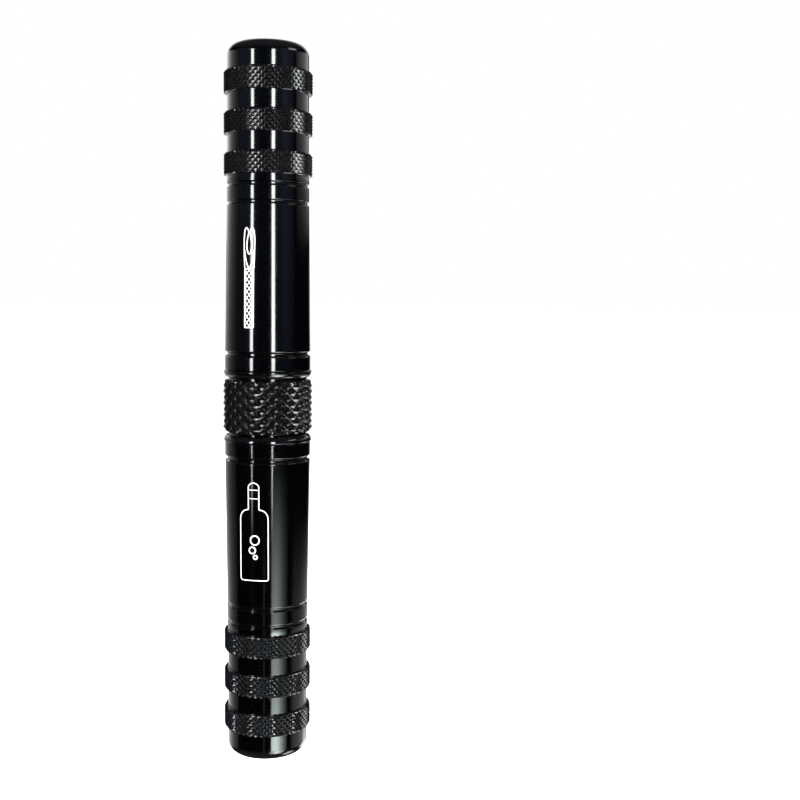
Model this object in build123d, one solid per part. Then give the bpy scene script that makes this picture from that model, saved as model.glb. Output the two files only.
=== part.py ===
from build123d import *
from math import cos, pi, sin
import os

# Pocket repair capsule for tubeless bicycle tyres. Two closed aluminium tubes screw onto a
# middle hub. The upper tube covers a split-eye plug fork, whose holder is screwed over the
# valve nozzle. The lower tube covers a threaded 16 g CO2 cartridge. The hub is the inflator
# head: piercing pin, gas passage and a sprung plunger that the tyre valve pushes open.
#
# Units are millimetres and degrees. +Z runs along the capsule, from the lower tube's flat end
# (z = 0) to the upper tube's end. Each piece is first drawn about the hub's centre, with
# heights measured from there, and place() lifts it into the capsule's frame.

os.makedirs("parts", exist_ok=True)

# ---- driving dimensions ----------------------------------------------------------------
TOTAL_LENGTH = 220.0
HUB_CENTRE = TOTAL_LENGTH / 2

RUNNING_GAP = 0.08          # radial clearance of threads and sliding stems
SEAT_GAP = 0.03             # radial clearance of pieces that are fixed in one another

# hub, outside: distances are from the hub's centre plane, the same both ways
COLLAR_RADIUS = 13.83
COLLAR_HALF = 8.1
COLLAR_EDGE = 1.2
NECK_RADIUS = 12.1
NECK_HALF = 8.8
FLANGE_RADIUS = 13.35
FLANGE_LAND = 10.7          # where the flange's rounded flank has reached its full radius
FLANGE_HALF = 11.0
BOSS_HALF = 19.5
BOSS_CREST = 11.42
BOSS_THREAD_START = 14.4
BOSS_END_CHAMFER = 0.6
TUBE_PITCH = 1.0

# O-rings in the tubes' mouths, which run on the bosses' plain lands
TUBE_SEAL_SECTION = 0.95
TUBE_SEAL_MIDDLE = BOSS_CREST + 0.07 + TUBE_SEAL_SECTION / 2
TUBE_SEAL_HEIGHT = 12.9
TUBE_SEAL_GROOVE_WIDTH = 1.15
TUBE_SEAL_GROOVE_RADIUS = 12.5

# tubes, outside
MOUTH_RADIUS = 13.22
SHOULDER_RADIUS = 13.2      # just past the wide groove
WAIST_RADIUS = 12.55        # at the first narrow groove
PLAIN_RADIUS = 12.4
END_RADIUS = 12.35
END_EDGE = 3.2
WIDE_GROOVE = (16.15, 1.6, 0.8)                     # middle, width, depth
NARROW_GROOVES = ((62.1, 1.2, 0.5), (67.5, 1.2, 0.5))
RING_RADIUS = 13.5
RING_HEIGHT = 6.4
RING_STARTS = (70.5, 82.8, 95.1)
RING_FAR_CHAMFER = 0.9      # on the side of the closed end
RING_NEAR_CHAMFER = 0.15    # on the side of the hub

# tubes, inside
TUBE_BORE = 11.25
TUBE_THREAD_BORE = BOSS_CREST + RUNNING_GAP
TUBE_THREAD_DEPTH = 0.25
TUBE_THREAD_START = 14.2
TUBE_THREAD_END = 20.5
MOUTH_CHAMFER = 0.3
END_WALL = 2.5
UPPER_PAD_HEIGHT = 2.0
LOWER_PAD_HEIGHT = 5.6
PAD_RADIUS = 10.9

# cartridge: 16 g, 3/8 inch - 24 neck
CARTRIDGE_RADIUS = 10.9
CARTRIDGE_LENGTH = 88.5
CARTRIDGE_WALL = 1.5
CARTRIDGE_EDGE = 6.0
NECK_CREST = 4.72
NECK_PITCH = 25.4 / 24
NECK_LENGTH = 9.0
SHOULDER_LENGTH = 10.0
PIERCE_TURNS = 2
PIERCE_TRAVEL = PIERCE_TURNS * NECK_PITCH
CAP_RADIUS = 3.2
CAP_THICKNESS = 0.8
CAP_HOLE = 1.35

# piercing pin and its seal, in the hub's lower socket
POCKET_ROOF = 7.0           # below the centre plane
PIN_FLANGE_RADIUS = 4.0
PIN_FLANGE_HEIGHT = 2.0
PIN_RADIUS = 1.1
PIN_GAS_HOLE = 0.4
PIN_TO_CAP = 0.3            # how far the pin's point stays off the stored cartridge
PIN_POINT_LENGTH = 1.6
SEAL_HEIGHT = 1.6
SEAL_HOLE = 1.35
NECK_TO_SEAL = 0.1          # left between neck and seal at full travel

# valve chamber, plunger and nozzle, in the hub's upper half
PASSAGE_RADIUS = 0.8
CHAMBER_RADIUS = 3.0
CHAMBER_FLOOR = 3.0
NOZZLE_FOOT = 10.0
NOZZLE_FOOT_RADIUS = 5.0
NOZZLE_SEAL_SECTION = 1.1
NOZZLE_SEAL_MIDDLE = 5.85
NOZZLE_SEAL_SEAT = (6.7, 1.2)                       # radius, depth
NOZZLE_HEX_FLATS = 13.0
NOZZLE_HEX_HEIGHT = 2.0
NOZZLE_THREAD_CREST = 5.95
NOZZLE_TOP = 29.5
VALVE_SOCKET_RADIUS = 3.9   # takes a tyre valve's 7.7 mm thread
VALVE_SOCKET_FLOOR = 20.0
GASKET_HEIGHT = 1.6
GASKET_HOLE = 1.7
STEM_RADIUS = 1.2
STEM_TOP = 24.5
PLUNGER_HEAD_RADIUS = 2.6
PLUNGER_HEAD = (8.2, 9.95)
SPIGOT_RADIUS = 1.4
SPIGOT_FOOT = 6.8
PLUNGER_SEAL_SECTION = 0.9
PLUNGER_SEAL_MIDDLE = 1.98
SPRING_WIRE = 0.5
SPRING_MIDDLE = 2.15
SPRING_TURNS = 4.5

# fork and its holder
HOLDER_FOOT = 21.7
HOLDER_RADIUS = 8.2
HOLDER_GRIP_TOP = 32.0
HOLDER_CONE_TOP = 40.0
HOLDER_CONE_RADIUS = 5.0
HOLDER_TOP = 44.0
HOLDER_SOCKET_ROOF = 30.0
HOLDER_SEAL_SECTION = 1.24
HOLDER_SEAL_MIDDLE = 6.75
HOLDER_SEAL_SEAT = (7.45, 1.4)                      # radius, depth
SHANK_RADIUS = 2.1
SHANK_FOOT = 32.2
SHANK_TOP = 72.0
BLADE_TIP = 96.0
BLADE_THICKNESS = 1.8
BLADE_HALF_WIDTH = 2.75
EYE_HEIGHT = 88.5
EYE_RADIUS = 1.15
SLOT_FOOT = 77.0
SPLIT_WIDTH = 0.9
PRONG_TIP_ROUNDING = 0.3
SCREW_RADIUS = 1.5
SCREW_HEIGHT = 35.5
SCREW_LENGTH = 4.0
SCREW_SOCKET_FLATS = 1.5
SCREW_SOCKET_DEPTH = 1.6


# ---- helpers -----------------------------------------------------------------------------
def lathe(outline):
    """Solid turned about Z from a closed outline of (radius, height) points."""
    wire = Polyline(*[(radius, 0, height) for radius, height in outline], close=True)
    return revolve(make_face(wire), Axis.Z)


def bar(radius, bottom, top):
    """Plain round bar on the axis between two heights."""
    return Pos(0, 0, bottom) * Cylinder(
        radius, top - bottom, align=(Align.CENTER, Align.CENTER, Align.MIN)
    )


def ring(middle_radius, section, height):
    """O-ring of round section lying level at a height."""
    return Pos(0, 0, height) * Torus(middle_radius, section / 2)


def turned_thread(crest, depth, bottom, top, pitch):
    """Outline points of a row of V grooves between two heights, ring by ring."""
    points = []
    grooves = int((top - bottom) / pitch)
    for index in range(grooves):
        start = bottom + index * pitch
        points += [
            (crest, start + 0.1 * pitch),
            (crest - depth, start + 0.5 * pitch),
            (crest, start + 0.9 * pitch),
        ]
    return points


def groove(radius, middle, width, depth):
    """Outline points of a bevelled groove in a turned surface, from bottom to top."""
    return [
        (radius, middle - width / 2),
        (radius - depth, middle - width / 5),
        (radius - depth, middle + width / 5),
        (radius, middle + width / 2),
    ]


def round_rim(solid, rim_radius, height, fillet_radius):
    """Round the circular edge that has the given radius and height."""
    rims = [
        edge
        for edge in solid.edges().filter_by(GeomType.CIRCLE)
        if abs(edge.radius - rim_radius) < 1e-3 and abs(edge.center().Z - height) < 1e-3
    ]
    return fillet(rims, fillet_radius)


def place(shape):
    """Move a piece drawn about the hub's centre into the capsule's frame."""
    return Pos(0, 0, HUB_CENTRE) * shape


def save(shape, node):
    """Write one node's STEP file."""
    export_step(shape, f"parts/{node}.step")


# ---- hub ---------------------------------------------------------------------------------
def hub_half_outline():
    """Outside of the hub's upper half, from the centre plane to the boss's end."""
    outline = [(COLLAR_RADIUS, 0), (COLLAR_RADIUS, COLLAR_HALF), (NECK_RADIUS, COLLAR_HALF)]
    steps = 6
    for index in range(steps + 1):
        turn = pi / 2 * index / steps
        outline.append(
            (
                NECK_RADIUS + (FLANGE_RADIUS - NECK_RADIUS) * sin(turn),
                FLANGE_LAND - (FLANGE_LAND - NECK_HALF) * cos(turn),
            )
        )
    outline += [(FLANGE_RADIUS, FLANGE_HALF), (BOSS_CREST, FLANGE_HALF)]
    outline += turned_thread(BOSS_CREST, 0.5, BOSS_THREAD_START, BOSS_HALF - 0.1, TUBE_PITCH)
    outline += [(BOSS_CREST - BOSS_END_CHAMFER, BOSS_HALF), (0, BOSS_HALF)]
    return outline


def make_hub():
    """Inflator head: collar, flanges and threaded bosses, bored for the valve and the pin."""
    upper = hub_half_outline()
    lower = [(radius, -height) for radius, height in reversed(upper)]
    body = lathe(lower[:-1] + upper[1:])
    body = round_rim(body, COLLAR_RADIUS, COLLAR_HALF, COLLAR_EDGE)
    body = round_rim(body, COLLAR_RADIUS, -COLLAR_HALF, COLLAR_EDGE)

    seat_radius, seat_depth = NOZZLE_SEAL_SEAT
    body -= bar(seat_radius, BOSS_HALF - seat_depth, BOSS_HALF)
    body -= bar(NOZZLE_FOOT_RADIUS + SEAT_GAP, NOZZLE_FOOT, BOSS_HALF)
    body -= bar(CHAMBER_RADIUS, CHAMBER_FLOOR, NOZZLE_FOOT)
    body -= bar(PASSAGE_RADIUS, -POCKET_ROOF, CHAMBER_FLOOR)

    seal_foot = -POCKET_ROOF - PIN_FLANGE_HEIGHT - SEAL_HEIGHT
    body -= bar(PIN_FLANGE_RADIUS + SEAT_GAP, seal_foot, -POCKET_ROOF)
    socket = NECK_CREST + RUNNING_GAP
    body -= lathe(
        [(0, -BOSS_HALF), (socket + 0.8, -BOSS_HALF), (socket, -BOSS_HALF + 0.8)]
        + turned_thread(socket, -0.35, -BOSS_HALF + 0.9, seal_foot - 0.6, NECK_PITCH)
        + [(socket, seal_foot), (0, seal_foot)]
    )
    return body


# ---- tubes -------------------------------------------------------------------------------
def tube_outside():
    """Outside of a tube from its mouth to its closed end, as seen in half section."""
    middle, width, depth = WIDE_GROOVE
    outline = [(MOUTH_RADIUS, FLANGE_HALF)]
    outline += groove(MOUTH_RADIUS, middle, width, depth)[:3]
    outline += [(SHOULDER_RADIUS, middle + width / 2)]
    for middle, width, depth in NARROW_GROOVES:
        outline += groove(WAIST_RADIUS, middle, width, depth)
    for start in RING_STARTS:
        top = start + RING_HEIGHT
        outline += [
            (PLAIN_RADIUS, start),
            (RING_RADIUS - RING_NEAR_CHAMFER, start),
            (RING_RADIUS, start + RING_NEAR_CHAMFER),
            (RING_RADIUS, top - RING_FAR_CHAMFER),
            (RING_RADIUS - RING_FAR_CHAMFER, top),
            (PLAIN_RADIUS, top),
        ]
    outline += [(END_RADIUS, HUB_CENTRE), (0, HUB_CENTRE)]
    return outline


def tube_inside():
    """Inside of a tube from its closed end back to its mouth."""
    floor = HUB_CENTRE - END_WALL
    seal_near = TUBE_SEAL_HEIGHT - TUBE_SEAL_GROOVE_WIDTH / 2
    seal_far = TUBE_SEAL_HEIGHT + TUBE_SEAL_GROOVE_WIDTH / 2
    thread = turned_thread(
        TUBE_THREAD_BORE, -TUBE_THREAD_DEPTH, TUBE_THREAD_START, TUBE_THREAD_END, TUBE_PITCH
    )
    outline = [(0, floor), (TUBE_BORE, floor), (TUBE_BORE, TUBE_THREAD_END)]
    outline += [(TUBE_THREAD_BORE, TUBE_THREAD_END)]
    outline += list(reversed(thread))
    outline += [
        (TUBE_THREAD_BORE, seal_far),
        (TUBE_SEAL_GROOVE_RADIUS, seal_far),
        (TUBE_SEAL_GROOVE_RADIUS, seal_near),
        (TUBE_THREAD_BORE, seal_near),
        (TUBE_THREAD_BORE, FLANGE_HALF + MOUTH_CHAMFER),
        (TUBE_THREAD_BORE + MOUTH_CHAMFER, FLANGE_HALF),
    ]
    return outline


def make_tube():
    """Closed tube with its mouth towards the hub and its flat end away from it."""
    body = lathe(tube_outside() + tube_inside())
    body = round_rim(body, END_RADIUS, HUB_CENTRE, END_EDGE)
    return round_rim(body, TUBE_BORE, HUB_CENTRE - END_WALL, 0.8)


def make_pad(height):
    """Soft disc that lies against a tube's closed end."""
    top = HUB_CENTRE - END_WALL
    return lathe(
        [
            (0, top),
            (PAD_RADIUS - 1.2, top),
            (PAD_RADIUS, top - 1.2),
            (PAD_RADIUS, top - height + 0.4),
            (PAD_RADIUS - 0.4, top - height),
            (0, top - height),
        ]
    )


def make_tube_seal():
    """O-ring in a tube's mouth, round the boss's plain land."""
    return ring(TUBE_SEAL_MIDDLE, TUBE_SEAL_SECTION, TUBE_SEAL_HEIGHT)


# ---- cartridge ---------------------------------------------------------------------------
def cartridge_top():
    """Height of the stored cartridge's neck face."""
    seal_foot = -POCKET_ROOF - PIN_FLANGE_HEIGHT - SEAL_HEIGHT
    return seal_foot - NECK_TO_SEAL - PIERCE_TRAVEL


def bottle(radius, neck_radius, neck_length, length, edge):
    """Bottle shape with its neck up: (radius, height) points measured from the neck's face."""
    steps = 10
    points = [(0, 0), (neck_radius, 0), (neck_radius, -neck_length)]
    half = SHOULDER_LENGTH / 2
    for index in range(1, steps + 1):
        turn = pi * index / steps
        blend = (1 - cos(turn)) / 2
        height = neck_length + 2 * half * index / steps
        points.append((neck_radius + (radius - neck_radius) * blend, -height))
    for index in range(steps + 1):
        turn = pi / 2 * index / steps
        points.append(
            (radius - edge * (1 - cos(turn)), -length + edge * (1 - sin(turn)))
        )
    points.append((0, -length))
    return points


def make_cartridge():
    """Steel gas cartridge with a threaded neck, hollow, open at the mouth for its cap."""
    shell = lathe(
        bottle(CARTRIDGE_RADIUS, NECK_CREST, NECK_LENGTH, CARTRIDGE_LENGTH, CARTRIDGE_EDGE)
    )
    hollow = lathe(
        bottle(
            CARTRIDGE_RADIUS - CARTRIDGE_WALL,
            CAP_RADIUS - 0.8,
            NECK_LENGTH + 0.8,
            CARTRIDGE_LENGTH - CARTRIDGE_WALL,
            CARTRIDGE_EDGE - CARTRIDGE_WALL,
        )
    )
    ring_cut = lathe(
        [(NECK_CREST + 1, -0.5), (NECK_CREST + 1, -NECK_LENGTH + 1)]
        + turned_thread(NECK_CREST, 0.45, -NECK_LENGTH + 1.2, -0.8, NECK_PITCH)
        + [(NECK_CREST, -0.5)]
    )
    mouth = bar(CAP_RADIUS + SEAT_GAP, -CAP_THICKNESS, 0)
    return Pos(0, 0, cartridge_top()) * (shell - hollow - ring_cut - mouth)


def make_cartridge_cap():
    """Crimped disc in the cartridge's mouth, with the hole that the pin makes in it."""
    cap = bar(CAP_RADIUS, -CAP_THICKNESS, 0) - bar(CAP_HOLE, -CAP_THICKNESS, 0)
    return Pos(0, 0, cartridge_top()) * cap


# ---- piercing pin ------------------------------------------------------------------------
def make_piercing_pin():
    """Flanged hollow pin, point down, seated under the gas passage."""
    point = cartridge_top() + PIN_TO_CAP
    flange_foot = -POCKET_ROOF - PIN_FLANGE_HEIGHT
    pin = lathe(
        [
            (0, -POCKET_ROOF),
            (PIN_FLANGE_RADIUS, -POCKET_ROOF),
            (PIN_FLANGE_RADIUS, flange_foot),
            (PIN_RADIUS, flange_foot),
            (PIN_RADIUS, point + PIN_POINT_LENGTH),
            (PIN_GAS_HOLE + 0.1, point),
            (0, point),
        ]
    )
    return pin - bar(PIN_GAS_HOLE, point, -POCKET_ROOF)


def make_pin_seal():
    """Flat seal around the pin that the cartridge's neck is pressed against."""
    top = -POCKET_ROOF - PIN_FLANGE_HEIGHT
    return bar(PIN_FLANGE_RADIUS, top - SEAL_HEIGHT, top) - bar(
        SEAL_HOLE, top - SEAL_HEIGHT, top
    )


# ---- nozzle and plunger ------------------------------------------------------------------
def make_nozzle():
    """Valve nozzle: foot in the hub, hexagon, and a threaded spout with the valve socket."""
    hex_top = BOSS_HALF + NOZZLE_HEX_HEIGHT
    spout = lathe(
        [(0, hex_top), (NOZZLE_THREAD_CREST - 0.5, hex_top)]
        + [(NOZZLE_THREAD_CREST - 0.5, hex_top + 0.7)]
        + turned_thread(NOZZLE_THREAD_CREST, 0.45, hex_top + 0.8, NOZZLE_TOP - 0.6, 1.0)
        + [(NOZZLE_THREAD_CREST - 0.6, NOZZLE_TOP), (0, NOZZLE_TOP)]
    )
    hexagon = extrude(
        RegularPolygon(NOZZLE_HEX_FLATS / 2, 6, major_radius=False), NOZZLE_HEX_HEIGHT
    )
    body = bar(NOZZLE_FOOT_RADIUS, NOZZLE_FOOT, BOSS_HALF) + spout
    body += Pos(0, 0, BOSS_HALF) * hexagon
    body -= lathe(
        [(0, VALVE_SOCKET_FLOOR), (VALVE_SOCKET_RADIUS, VALVE_SOCKET_FLOOR)]
        + turned_thread(
            VALVE_SOCKET_RADIUS,
            -0.3,
            VALVE_SOCKET_FLOOR + GASKET_HEIGHT + 0.3,
            NOZZLE_TOP - 0.7,
            0.8,
        )
        + [(VALVE_SOCKET_RADIUS, NOZZLE_TOP - 0.5), (VALVE_SOCKET_RADIUS + 0.5, NOZZLE_TOP)]
        + [(0, NOZZLE_TOP)]
    )
    body -= bar(STEM_RADIUS + RUNNING_GAP, NOZZLE_FOOT, VALVE_SOCKET_FLOOR)
    return body - bar(PLUNGER_HEAD_RADIUS + 0.1, NOZZLE_FOOT, NOZZLE_FOOT + 1.0)


def make_nozzle_oring():
    """O-ring under the nozzle's hexagon."""
    height = BOSS_HALF - NOZZLE_SEAL_SEAT[1] + NOZZLE_SEAL_SECTION / 2 + SEAT_GAP
    return ring(NOZZLE_SEAL_MIDDLE, NOZZLE_SEAL_SECTION, height)


def make_nozzle_gasket():
    """Gasket on the floor of the valve socket."""
    top = VALVE_SOCKET_FLOOR + GASKET_HEIGHT
    return bar(VALVE_SOCKET_RADIUS - 0.05, VALVE_SOCKET_FLOOR, top) - bar(
        GASKET_HOLE, VALVE_SOCKET_FLOOR, top
    )


def make_plunger():
    """Valve plunger: a stem that the tyre valve pushes, and a head that shuts the gas off."""
    foot, top = PLUNGER_HEAD
    return lathe(
        [
            (0, SPIGOT_FOOT),
            (SPIGOT_RADIUS, SPIGOT_FOOT),
            (SPIGOT_RADIUS, foot),
            (PLUNGER_HEAD_RADIUS, foot),
            (PLUNGER_HEAD_RADIUS, top),
            (STEM_RADIUS, top),
            (STEM_RADIUS, STEM_TOP - 0.5),
            (STEM_RADIUS - 0.5, STEM_TOP),
            (0, STEM_TOP),
        ]
    )


def make_plunger_seal():
    """Small O-ring that the plunger's head closes against."""
    height = NOZZLE_FOOT + PLUNGER_SEAL_SECTION / 2 + 0.02
    return ring(PLUNGER_SEAL_MIDDLE, PLUNGER_SEAL_SECTION, height)


def make_plunger_spring():
    """Coil spring between the valve chamber's floor and the plunger's head."""
    height = PLUNGER_HEAD[0] - CHAMBER_FLOOR - SPRING_WIRE
    start = CHAMBER_FLOOR + SPRING_WIRE / 2
    path = Pos(0, 0, start) * Helix(height / SPRING_TURNS, height, SPRING_MIDDLE)
    section = Plane(path @ 0, z_dir=path % 0) * Circle(SPRING_WIRE / 2)
    return sweep(section, path=path)


# ---- fork --------------------------------------------------------------------------------
def make_fork_holder():
    """Holder that screws over the nozzle and carries the fork in its nose."""
    body = lathe(
        [
            (0, HOLDER_FOOT),
            (HOLDER_RADIUS - 0.5, HOLDER_FOOT),
            (HOLDER_RADIUS, HOLDER_FOOT + 0.5),
            (HOLDER_RADIUS, HOLDER_GRIP_TOP - 0.5),
            (HOLDER_RADIUS - 0.5, HOLDER_GRIP_TOP),
            (HOLDER_CONE_RADIUS, HOLDER_CONE_TOP),
            (HOLDER_CONE_RADIUS, HOLDER_TOP - 0.6),
            (HOLDER_CONE_RADIUS - 0.6, HOLDER_TOP),
            (0, HOLDER_TOP),
        ]
    )
    socket = NOZZLE_THREAD_CREST + RUNNING_GAP
    seat_radius, seat_depth = HOLDER_SEAL_SEAT
    seat_roof = HOLDER_FOOT + seat_depth
    body -= lathe(
        [(0, HOLDER_FOOT), (seat_radius, HOLDER_FOOT), (seat_radius, seat_roof)]
        + [(socket, seat_roof)]
        + turned_thread(socket, -0.35, HOLDER_FOOT + 1.6, HOLDER_SOCKET_ROOF - 0.6, 1.0)
        + [(socket, HOLDER_SOCKET_ROOF), (0, HOLDER_SOCKET_ROOF)]
    )
    body -= bar(SHANK_RADIUS + SEAT_GAP, SHANK_FOOT, HOLDER_TOP)
    screw_hole = Rot(0, 90, 0) * bar(SCREW_RADIUS + SEAT_GAP, 0, HOLDER_RADIUS)
    return body - Pos(0, 0, SCREW_HEIGHT) * screw_hole


def make_holder_oring():
    """O-ring in the holder's foot that stops it from working loose on the nozzle."""
    height = HOLDER_FOOT + HOLDER_SEAL_SECTION / 2 + 0.1
    return ring(HOLDER_SEAL_MIDDLE, HOLDER_SEAL_SECTION, height)


def make_set_screw():
    """Set screw through the holder's cone onto the fork's shank, with a hexagon socket."""
    start = SHANK_RADIUS + 0.05
    screw = bar(SCREW_RADIUS, start, start + SCREW_LENGTH)
    hexagon = RegularPolygon(SCREW_SOCKET_FLATS / 2, 6, major_radius=False)
    socket = extrude(hexagon, -SCREW_SOCKET_DEPTH)
    screw -= Pos(0, 0, start + SCREW_LENGTH) * socket
    return Pos(0, 0, SCREW_HEIGHT) * (Rot(0, 90, 0) * screw)


def make_blade():
    """Flat leaf-shaped blade with an eye, split from the eye to the tip into two prongs."""
    root = SHANK_TOP - 2
    side = Spline(
        (SHANK_RADIUS * 0.8, root),
        (BLADE_HALF_WIDTH, EYE_HEIGHT - 3),
        (SPLIT_WIDTH / 2 + 0.7, BLADE_TIP),
        tangents=((0, 1), (-0.5, 1)),
    )
    other_side = mirror(side, Plane.YZ)
    tip, foot = Line(side @ 1, other_side @ 1), Line(other_side @ 0, side @ 0)
    leaf = make_face([side, tip, other_side, foot])

    slot = [
        (SPLIT_WIDTH / 2, BLADE_TIP + 1),
        (SPLIT_WIDTH / 2, EYE_HEIGHT + EYE_RADIUS),
        (EYE_RADIUS, EYE_HEIGHT),
        (0.35, SLOT_FOOT),
    ]
    slot += [(-across, height) for across, height in reversed(slot)]
    opening = make_face(Polyline(*slot, close=True)) + Pos(0, EYE_HEIGHT) * Circle(EYE_RADIUS)
    blade = extrude(Plane.XZ * (leaf - opening), BLADE_THICKNESS / 2, both=True)
    tips = [
        edge
        for edge in blade.edges().filter_by(Axis.Y)
        if abs(edge.center().Z - BLADE_TIP) < 1e-3
    ]
    return fillet(tips, PRONG_TIP_ROUNDING)


def make_fork():
    """Plug fork: round shank that runs out into the flat two-pronged blade."""
    root = SHANK_TOP - 2
    shank = bar(SHANK_RADIUS, SHANK_FOOT, root)
    cone = lathe([(0, root), (SHANK_RADIUS, root), (0.9, SHANK_TOP + 3), (0, SHANK_TOP + 3)])
    return shank + cone + make_blade()


# ---- write every node ----------------------------------------------------------------------
def main():
    """Build every piece and write its STEP file."""
    tube = make_tube()
    turned_over = Rot(180, 0, 0)
    pieces = {
        "hub": make_hub(),
        "nozzle": make_nozzle(),
        "nozzle_oring": make_nozzle_oring(),
        "nozzle_gasket": make_nozzle_gasket(),
        "plunger": make_plunger(),
        "plunger_seal": make_plunger_seal(),
        "plunger_spring": make_plunger_spring(),
        "piercing_pin": make_piercing_pin(),
        "pin_seal": make_pin_seal(),
        "fork_holder": make_fork_holder(),
        "holder_oring": make_holder_oring(),
        "fork": make_fork(),
        "fork_set_screw": make_set_screw(),
        "upper_tube": tube,
        "upper_tube_seal": make_tube_seal(),
        "upper_tube_pad": make_pad(UPPER_PAD_HEIGHT),
        "lower_tube": turned_over * tube,
        "lower_tube_seal": turned_over * make_tube_seal(),
        "lower_tube_pad": turned_over * make_pad(LOWER_PAD_HEIGHT),
        "cartridge": make_cartridge(),
        "cartridge_cap": make_cartridge_cap(),
    }
    for node, shape in pieces.items():
        save(place(shape), node)


main()
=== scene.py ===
from math import asin, cos, hypot, pi, radians, sin, sqrt, tan

import bmesh
import bpy
import numpy as np
from mathutils import Matrix, Vector


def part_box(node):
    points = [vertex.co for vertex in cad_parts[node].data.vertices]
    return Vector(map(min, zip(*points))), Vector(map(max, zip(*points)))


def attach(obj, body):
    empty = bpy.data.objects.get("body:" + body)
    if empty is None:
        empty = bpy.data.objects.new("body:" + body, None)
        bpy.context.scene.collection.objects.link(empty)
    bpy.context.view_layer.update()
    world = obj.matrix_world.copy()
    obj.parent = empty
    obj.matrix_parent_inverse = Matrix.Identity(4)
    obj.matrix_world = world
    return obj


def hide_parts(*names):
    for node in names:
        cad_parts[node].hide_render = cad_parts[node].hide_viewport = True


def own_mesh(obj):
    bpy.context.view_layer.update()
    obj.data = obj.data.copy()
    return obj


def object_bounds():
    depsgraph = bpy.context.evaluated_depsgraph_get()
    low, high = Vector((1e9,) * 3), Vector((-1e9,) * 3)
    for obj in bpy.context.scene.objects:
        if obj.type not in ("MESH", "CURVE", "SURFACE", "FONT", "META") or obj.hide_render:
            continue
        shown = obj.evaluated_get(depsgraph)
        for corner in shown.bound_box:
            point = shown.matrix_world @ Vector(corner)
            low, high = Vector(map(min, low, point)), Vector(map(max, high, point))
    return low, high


# Looks of the pocket tyre-repair capsule. The object's lengths are millimetres, as in the CAD, and
# mesh_object() turns them into metres. Bumps, texture scales, camera, lights and floor are in
# metres. Turned pieces are drawn as rows of (radius, height) about the hub's centre and lifted by
# HUB_CENTRE.

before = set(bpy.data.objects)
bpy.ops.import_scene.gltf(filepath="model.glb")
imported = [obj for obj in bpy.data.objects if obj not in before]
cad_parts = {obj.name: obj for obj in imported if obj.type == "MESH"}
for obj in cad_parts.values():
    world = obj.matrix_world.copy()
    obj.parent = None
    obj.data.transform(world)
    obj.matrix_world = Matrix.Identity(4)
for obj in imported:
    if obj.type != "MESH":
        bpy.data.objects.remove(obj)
cad_low, cad_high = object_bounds()

MM = 0.001
HUB_CENTRE = (cad_low.z + cad_high.z) / 2 / MM
TINY = 1e-6

# ---- tubes: as the CAD has them, but with a rounder end and slightly larger rings ----
BOSS_CREST = 11.42
FLANGE_HALF = 11.0
TUBE_CREST = BOSS_CREST + 0.08  # crest of the tube's own thread
MOUTH_RADIUS = 13.22
WIDE_GROOVE = 0.8  # depths of the grooves
NARROW_GROOVE = 0.5
SHOULDER = (16.95, 13.2)  # (height, radius) at both ends of the long plain wall
WAIST = (61.5, 12.55)
PLAIN_RADIUS = 12.4
END_RUN = 101.7  # start of the plain run to the end; the outline folds back 0.27 to reach it
END_RADIUS = 12.35
TUBE_END = 110.0
TUBE_BASE = TUBE_END - 2.5  # inner face of the closed end
END_EDGE = 3.7
BORE_RADIUS = 11.25
RING_RADIUS = 13.6
RING_HEIGHT = 6.75
RING_STARTS = (70.5, 82.8, 95.1)
RING_BEVEL = 0.95
RING_FOOT = 0.12  # room for the small step under and over a ring
FINE_COUNT = 44
FINE_PITCH = 1.94
FINE_DEPTH = 0.55
FINE_ROUND = 0.4
FINE_STEPS = 8
TUBE_COLUMNS = FINE_COUNT * FINE_STEPS

# ---- hub ----
COLLAR_RADIUS = 13.83
COLLAR_HALF = 8.1
COLLAR_EDGE = 1.2
COLLAR_FLOOR = 12.2  # the knurl's valleys go no deeper
COLLAR_ROWS = 79
NECK_RADIUS = 12.1
NECK_HALF = 8.8
FLANGE_RADIUS = 13.55
FLANGE_LAND = 10.7
BOSS_END = 19.5
THREAD_FOOT = 14.2
THREAD_PITCH = 1.0
VALVE_BORE = 3.0
UNF_PITCH = 25.4 / 24  # the cartridge's thread
COARSE_COUNT = 20
COARSE_STEPS = 18
COARSE_DEPTH = 1.0
COARSE_ROUND = 0.4
HUB_COLUMNS = COARSE_COUNT * COARSE_STEPS


# ---- turned meshes ----
GUARD = 0.06  # beyond a rounded corner, a row that keeps the flat's shading flat
GUARD_ROOM = 0.1  # length that has to be left over for such a row
CORNER_SHARE = 0.45  # the most of a side that one rounding takes
FREE_SHARE = 0.55  # the part of a side that the other rounding leaves
NEARLY_STRAIGHT = radians(172)


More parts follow.
